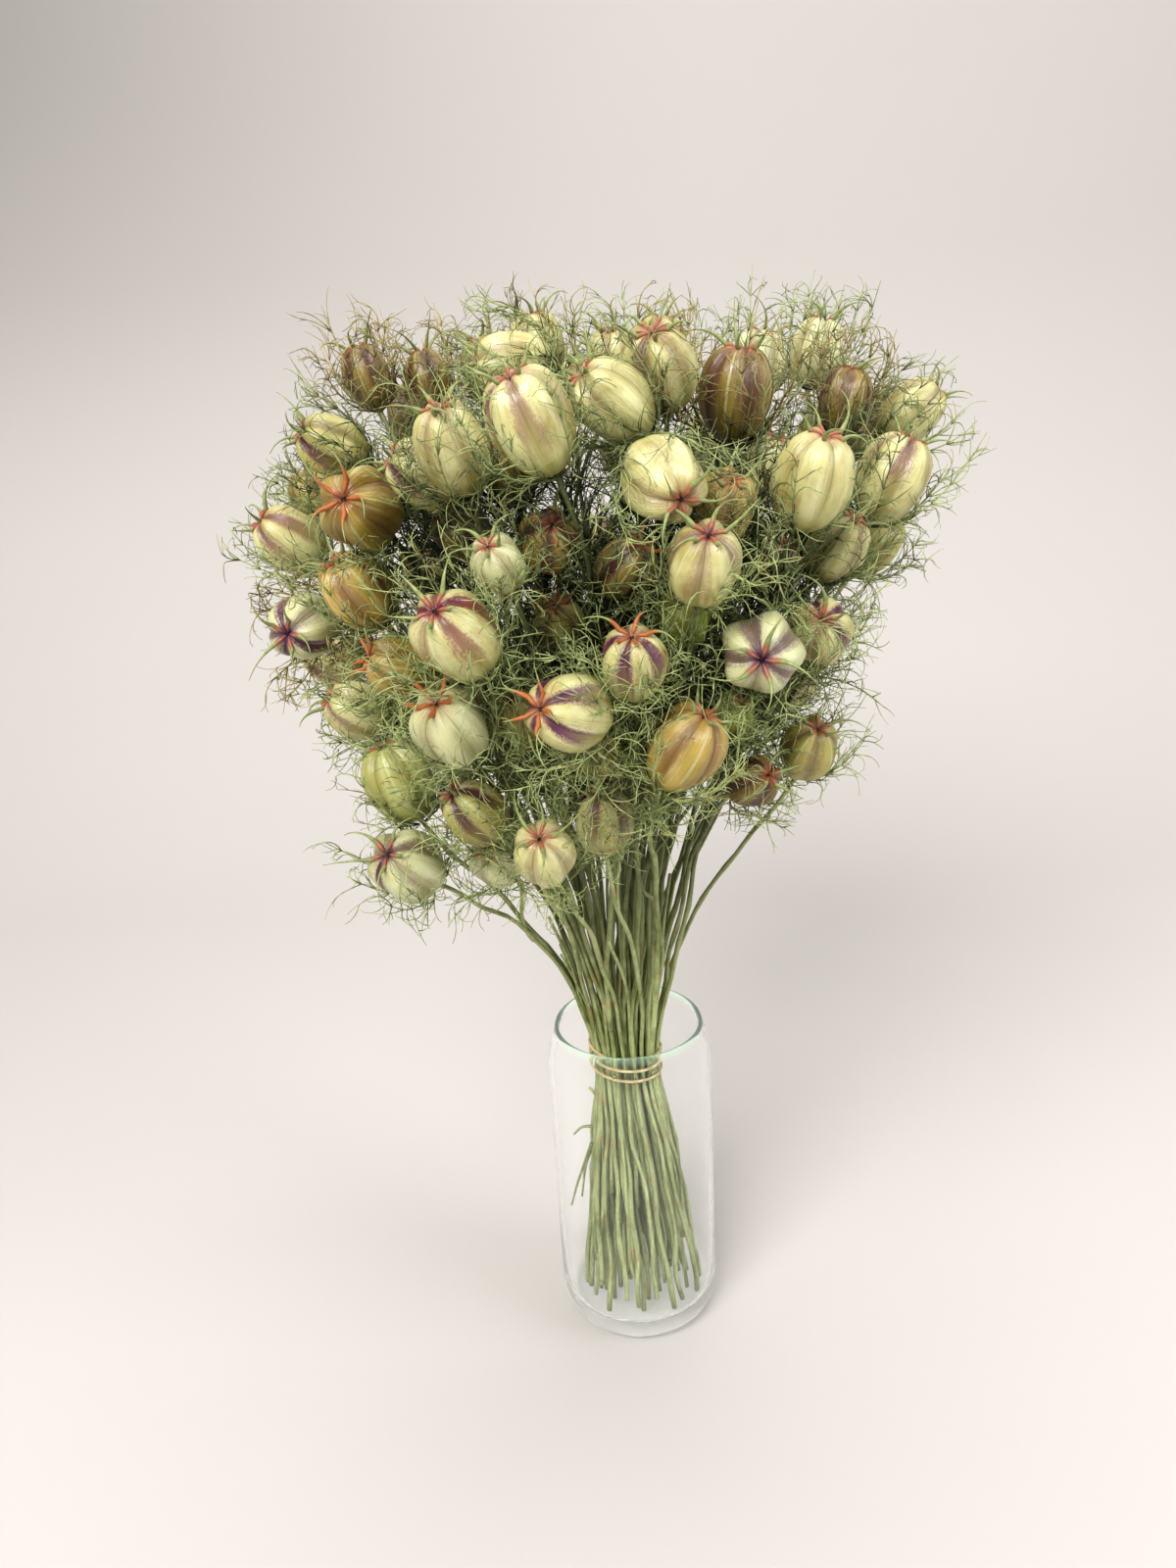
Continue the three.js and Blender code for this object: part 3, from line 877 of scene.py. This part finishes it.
class NIGELLA_OT_pods(bpy.types.Operator):
    """Add the seed pods with their dried styles"""

    bl_idname = "nigella.add_pods"
    bl_label = "Add Pods"

    def execute(self, context):
        sizes = context.scene.nigella_pods
        tints = context.scene.nigella_colours
        styles = style_finish("style", tints.star, tints.style, 0.24)
        orange_styles = style_finish("orange_style", tints.orange, tints.style, 0.45)
        kinds = {
            "cream": (tints.cream, tints.ochre, tints.mauve, tints.star, 0.4),
            "veined": (tints.cream, tints.ochre, tints.mauve, tints.star, 0.9),
            "striped": (tints.cream, tints.ochre, tints.purple, tints.star, 1.0),
            "starred": (tints.pale, tints.cream, tints.purple, tints.purple, 1.0),
            "flushed": (tints.pale, tints.olive, tints.wine, tints.wine, 1.0),
            "crimson": (tints.cream, tints.ochre, tints.crimson, tints.crimson, 1.0),
            "rosy": (tints.cream, tints.ochre, tints.mauve, tints.crimson, 0.6),
            "wine": (tints.olive, tints.cream, tints.wine, tints.wine, 1.0),
            "ochre": (tints.ochre, tints.umber, tints.rust, tints.star, 0.45),
            "amber": (tints.amber, tints.ochre, tints.mauve, tints.orange, 0.5),
            "umber": (tints.umber, tints.ochre, tints.wine, tints.orange, 0.9),
            "violet": (tints.amber, tints.star, tints.purple, tints.star, 1.0),
            "olive": (tints.olive, tints.ochre, tints.wine, tints.star, 0.45),
            "fresh": (tints.fresh, tints.olive, tints.olive, tints.olive, 0.5),
            "green": (tints.green, tints.olive, tints.olive, tints.olive, 0.5),
            "pale": (tints.pale, tints.cream, tints.mauve, tints.star, 0.3),
        }
        skins = {kind: pod_finish(kind + "_pod", *looks) for kind, looks in kinds.items()}
        for plant in PLANTS:
            mesh = pod_mesh("pod_" + plant.label, plant, sizes)
            nodes = [plant.node] if plant.node else ()
            tops = orange_styles if plant.number in ORANGE_STYLES else styles
            add_piece("pod_" + plant.label, mesh, [skins[plant.finish], tops], nodes)
        return {"FINISHED"}


def any_way(draw):
    """A random direction."""
    return Vector([draw.gauss(0, 1) for _ in range(3)]).normalized()


def wander(draw, start, heading, length, curl, steps, clear):
    """Points of a thread that leaves along heading and curls more and more."""
    points = [start]
    heading = heading.normalized()
    axis = heading.cross(any_way(draw)).normalized()
    for step in range(steps):
        heading = heading.copy()
        heading.rotate(Quaternion(axis, curl * (0.5 + step / steps)))
        axis = (axis + any_way(draw) * 0.35).normalized()
        points.append(clear(points[-1] + heading * length / steps))
    return points


def thinned(points, start, end):
    last = len(points) - 1
    return [(point, start + (end - start) * place / last) for place, point in enumerate(points)]


def sprig(draw, rib, sizes, clear, reach, forks):
    """A rib with threads on both sides that fork again near their ends."""
    strands = [thinned(rib, sizes.rib_radius, sizes.thread_radius * 0.6)]
    for place in range(1, len(rib) - 1):
        along = (rib[place + 1] - rib[place - 1]).normalized()
        for _ in range(forks):
            heading = along * draw.uniform(0.5, 1.1) + any_way(draw).cross(along) * draw.uniform(0.5, 1.0)
            length = reach * draw.uniform(0.45, 1.15)
            curl = draw.uniform(0.08, 0.6)
            thread = wander(draw, rib[place], heading, length, curl, THREAD_STEPS, clear)
            strands.append(thinned(thread, sizes.thread_radius, sizes.thread_radius * 0.4))
            if draw.random() < 0.75:
                fork = draw.randrange(2, 5)
                away = (thread[fork + 1] - thread[fork]).normalized() + any_way(draw) * 0.7
                twin = wander(draw, thread[fork], away, length * 0.55, draw.uniform(0.1, 0.5), 4, clear)
                strands.append(thinned(twin, sizes.thread_radius * 0.8, sizes.thread_radius * 0.35))
    return strands


def kept_clear(width):
    """Moves a point in a pod's own frame out of the pod."""
    centre = Vector((0, 0, POD_LENGTH / 2 * width))
    half = Vector((0.53, 0.53, 0.66)) * width

    def clear(point):
        away = point - centre
        depth = Vector((away.x / half.x, away.y / half.y, away.z / half.z)).length
        return point if depth > 1 or depth < 0.01 else centre + away / depth
    return clear


LOWEST = Vector(CAD_BOX[0]) - Vector((12, 12, 0)) * MM
HIGHEST = Vector(CAD_BOX[1]) + Vector((12, 12, 18)) * MM


def inside_box(point):
    return Vector([min(max(part, low), high) for part, low, high in zip(point, LOWEST, HIGHEST)])


def bract_strands(plant, sizes):
    """The lace round one pod: bracts that rise from under it like a basket."""
    draw = plant.draw("bracts")
    width = plant.width
    length = width * POD_LENGTH
    clear = kept_clear(width)
    strands = []
    tall_lace = plant.number in TALL_LACE
    bracts = round(sizes.bracts * (1.25 if tall_lace else 1))
    for count in range(bracts):
        angle = math.tau * (count + draw.uniform(-0.3, 0.3)) / bracts
        drift = draw.uniform(-0.5, 0.5)
        open_wide = draw.uniform(0.56, 0.92)
        tall = draw.uniform(0.8, 1.4) * (1.25 if tall_lace else 1)
        rib = []
        for step in range(7):
            share = step / 6
            across = width * (0.05 + (open_wide - 0.05) * math.sin(share * math.pi / 2) ** 0.8)
            around = angle + drift * share
            up = length * tall * share ** 1.5 - 0.06 * width * (1 - share)
            rib.append(Vector((across * math.cos(around), across * math.sin(around), up)))
        strands += sprig(draw, rib, sizes, clear, sizes.thread_length, 3)
    return [[(inside_box(plant.out(point)), radius) for point, radius in strand] for strand in strands]


def leaf_strands(plant, sizes):
    """Thread-like leaves on the upper part of a stem."""
    draw = plant.draw("leaves")
    line = through(plant.line, 3)
    strands = []
    high = [place for place in range(len(line) - 2) if line[place].z > LEAVES_FROM]
    for _ in range(sizes.leaves if high else 0):
        place = draw.choice(high)
        along = (line[place + 1] - line[place]).normalized()
        heading = along * draw.uniform(0.5, 1.2) + any_way(draw).cross(along)
        rib = wander(draw, line[place], heading, draw.uniform(22, 40) * MM, 0.12, 6, inside_box)
        strands += sprig(draw, rib, sizes, inside_box, sizes.thread_length * 1.1, 1)
    return strands


class NIGELLA_OT_lace(bpy.types.Operator):
    """Add the lace of forked bracts and leaves round the pods"""

    bl_idname = "nigella.add_lace"
    bl_label = "Add Lace"

    def execute(self, context):
        sizes = context.scene.nigella_lace
        tints = context.scene.nigella_colours
        fresh = stalk_finish("bract", tints.lace, tints.lace_dark, tints.straw, 300, 0.6, 120)
        dry = stalk_finish("dry_bract", tints.straw, tints.lace_dark, tints.lace, 300, 0.3, 120)
        for plant in PLANTS:
            strands = bract_strands(plant, sizes)
            if plant.node:
                strands += leaf_strands(plant, sizes)
            mesh = strands_mesh("lace_" + plant.label, strands)
            add_piece("lace_" + plant.label, mesh, [dry if plant.number in DRY_LACE else fresh])
        return {"FINISHED"}


def inside_cone(point):
    """Draws a point in towards the bunch's middle until it is in the cone of the inner growth."""
    across = math.hypot(point.x, point.y)
    limit = max(0, point.z - INNER_CONE[0]) * INNER_CONE[1]
    share = min(1, limit / max(across, WELD))
    return Vector((point.x * share, point.y * share, point.z))


class NIGELLA_OT_inner_leaves(bpy.types.Operator):
    """Add the long leaves that fill the inside of the bunch"""

    bl_idname = "nigella.add_inner_leaves"
    bl_label = "Add Inner Leaves"

    def execute(self, context):
        sizes = context.scene.nigella_lace
        tints = context.scene.nigella_colours
        strands = []
        for plant in GROWN:
            draw = plant.draw("inner leaves")
            line = through(plant.line, 3)
            inner = [place for place, point in enumerate(line[:-1])
                     if INNER_HEIGHTS[0] < point.z < INNER_HEIGHTS[1]
                     and math.hypot(point.x, point.y) < INNER_SHARE * point.z]
            for _ in range(sizes.inner_leaves if inner else 0):
                place = draw.choice(inner)
                along = (line[place + 1] - line[place]).normalized()
                leaf = wander(draw, line[place], along + any_way(draw) * 0.75, draw.uniform(35, 70) * MM, 0.14, 7,
                              inside_cone)
                strands.append(thinned(leaf, sizes.rib_radius * 1.3, sizes.thread_radius * 0.7))
        mesh = strands_mesh("inner_leaves", strands)
        finish = stalk_finish("inner_leaf", tints.lace, tints.lace_dark, tints.straw, 300, 0.3, 80)
        add_piece("inner_leaves", mesh, [finish])
        return {"FINISHED"}


class NIGELLA_OT_glass(bpy.types.Operator):
    """Add the glass vase"""

    bl_idname = "nigella.add_glass"
    bl_label = "Add Glass"

    def execute(self, context):
        low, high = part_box("glass_vase")
        radius_scale = (high.x - low.x) / 2 / (GLASS_RADIUS * MM)
        height_scale = (high.z - low.z) / (GLASS_HEIGHT * MM)
        centre = Vector(((low.x + high.x) / 2, (low.y + high.y) / 2, low.z))
        shell = bmesh.new()
        verts = []
        for across, up in GLASS_PROFILE:
            offset = Vector((across * radius_scale, 0, up * height_scale)) * MM
            verts.append(shell.verts.new(centre + offset))
        edges = [shell.edges.new(pair) for pair in zip(verts, verts[1:])]
        bmesh.ops.spin(shell, geom=verts + edges, cent=centre, axis=UP, dvec=(0, 0, 0), angle=math.tau,
                       steps=GLASS_STEPS, use_merge=True, use_duplicate=False)
        bmesh.ops.remove_doubles(shell, verts=shell.verts, dist=10 * WELD)
        bmesh.ops.recalc_face_normals(shell, faces=shell.faces)
        mesh = bpy.data.meshes.new("vase")
        shell.to_mesh(mesh)
        shell.free()
        mesh.shade_smooth()
        piece = add_piece("vase", mesh, [glass_finish("clear_glass")], ["glass_vase"])
        smooth = piece.modifiers.new("round", "SUBSURF")
        smooth.levels = smooth.render_levels = 2
        return {"FINISHED"}


class NIGELLA_OT_band(bpy.types.Operator):
    """Add the rubber band that ties the stems"""

    bl_idname = "nigella.add_band"
    bl_label = "Add Rubber Band"

    def execute(self, context):
        tints = context.scene.nigella_colours
        shell = bmesh.new()
        shell.from_mesh(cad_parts["rubber_band"].data)
        bmesh.ops.remove_doubles(shell, verts=shell.verts, dist=FRAME_WELD)
        low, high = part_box("rubber_band")
        centre = (low + high) / 2
        bmesh.ops.scale(shell, vec=(BAND_GRIP, BAND_GRIP, 1), space=Matrix.Translation(-centre), verts=shell.verts)
        mesh = bpy.data.meshes.new("tie")
        shell.to_mesh(mesh)
        shell.free()
        mesh.shade_smooth()
        piece = add_piece("tie", mesh, [rubber_finish("tan_rubber", tints.rubber)], ["rubber_band"])
        smooth = piece.modifiers.new("round", "SUBSURF")
        smooth.levels = smooth.render_levels = 2
        return {"FINISHED"}


def add_light(name, where, towards, size, power, tint):
    data = bpy.data.lights.new(name, "AREA")
    data.shape = "RECTANGLE"
    data.size, data.size_y = size
    data.energy = power
    data.color = tint
    lamp = link(name, data)
    lamp.location = where
    lamp.rotation_euler = (Vector(towards) - Vector(where)).to_track_quat("-Z", "Y").to_euler()


class NIGELLA_OT_stage(bpy.types.Operator):
    """Add the camera, the lights, the floor and the backdrop"""

    bl_idname = "nigella.add_stage"
    bl_label = "Add Stage"

    def execute(self, context):
        tints = context.scene.nigella_colours
        data = bpy.data.cameras.new("camera")
        data.lens = 27
        data.sensor_width = 36
        data.clip_start = 0.01
        camera = link("camera", data)
        tilt = Matrix.Rotation(math.radians(90 - 18.9), 4, "X")
        roll = Matrix.Rotation(math.radians(-3.2), 4, "Z")
        camera.matrix_world = Matrix.Translation((-0.013, -0.5, 0.454)) @ tilt @ roll
        context.scene.camera = camera

        sweep = bmesh.new()
        corners = [sweep.verts.new((0, y, z)) for y, z in ((-1.6, 0), (1.1, 0), (1.1, 2.4))]
        edges = [sweep.edges.new(pair) for pair in zip(corners, corners[1:])]
        grown = bmesh.ops.extrude_edge_only(sweep, edges=edges)["geom"]
        across = [item for item in grown if isinstance(item, bmesh.types.BMVert)]
        bmesh.ops.translate(sweep, verts=across, vec=(4, 0, 0))
        bmesh.ops.translate(sweep, verts=sweep.verts, vec=(-2, 0, 0))
        corner = [edge for edge in sweep.edges if all(abs(vert.co.y - 1.1) + vert.co.z < 0.01 for vert in edge.verts)]
        bmesh.ops.bevel(sweep, geom=corner, offset=0.6, offset_type="OFFSET", affect="EDGES", segments=16,
                        profile=0.5, material=-1)
        bmesh.ops.recalc_face_normals(sweep, faces=sweep.faces)
        mesh = bpy.data.meshes.new("backdrop")
        sweep.to_mesh(mesh)
        sweep.free()
        mesh.shade_smooth()
        mesh.materials.append(backdrop_finish("backdrop", tints.backdrop))
        link("backdrop", mesh)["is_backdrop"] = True

        world = bpy.data.worlds.new("studio")
        world.use_nodes = True
        sky = world.node_tree.nodes["Background"]
        sky.inputs["Color"].default_value = (1.0, 0.97, 0.94, 1)
        sky.inputs["Strength"].default_value = 0.3
        context.scene.world = world
        add_light("window", (-0.6, -1.3, 1.5), (0, 0, 0.3), (1.1, 0.9), 38, (1.0, 0.98, 0.95))
        add_light("fill", (1.3, -0.6, 0.9), (0, 0, 0.3), (1.0, 1.0), 11, (0.95, 0.97, 1.0))
        add_light("sky", (0.1, 0.4, 2.0), (0, 0.1, 0), (1.6, 1.6), 17, (1.0, 0.985, 0.97))
        context.scene.view_settings.view_transform = "Standard"
        context.scene.view_settings.look = "Medium High Contrast"
        return {"FINISHED"}


class NIGELLA_PT_panel(bpy.types.Panel):
    """The bunch's sizes, colours and pieces"""

    bl_label = "Dried Nigella Bunch"
    bl_space_type = "VIEW_3D"
    bl_region_type = "UI"
    bl_category = "Nigella"

    def draw(self, context):
        for group in SETTINGS:
            box = self.layout.box()
            settings = getattr(context.scene, group)
            for name in settings.bl_rna.properties.keys():
                if name not in ("rna_type", "name"):
                    box.prop(settings, name)
        for operator in OPERATORS:
            self.layout.operator(operator.bl_idname)


SETTINGS = {
    "nigella_stems": StemSizes,
    "nigella_pods": PodSizes,
    "nigella_lace": LaceSizes,
    "nigella_colours": Colours,
}
OPERATORS = (
    NIGELLA_OT_stage,
    NIGELLA_OT_glass,
    NIGELLA_OT_band,
    NIGELLA_OT_stems,
    NIGELLA_OT_bare_stems,
    NIGELLA_OT_pods,
    NIGELLA_OT_lace,
    NIGELLA_OT_inner_leaves,
)


def register():
    for kind in (*SETTINGS.values(), *OPERATORS, NIGELLA_PT_panel):
        bpy.utils.register_class(kind)
    for name, kind in SETTINGS.items():
        setattr(bpy.types.Scene, name, PointerProperty(type=kind))


def unregister():
    for name in SETTINGS:
        delattr(bpy.types.Scene, name)
    for kind in (NIGELLA_PT_panel, *reversed(OPERATORS), *SETTINGS.values()):
        bpy.utils.unregister_class(kind)


def main():
    register()
    bpy.ops.nigella.add_stage()
    bpy.ops.nigella.add_glass()
    bpy.ops.nigella.add_band()
    bpy.ops.nigella.add_stems()
    bpy.ops.nigella.add_bare_stems()
    bpy.ops.nigella.add_pods()
    bpy.ops.nigella.add_lace()
    bpy.ops.nigella.add_inner_leaves()
    boxes = [[list(corner) for corner in box] for box in (CAD_BOX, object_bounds())]


if __name__ == "__main__":
    main()
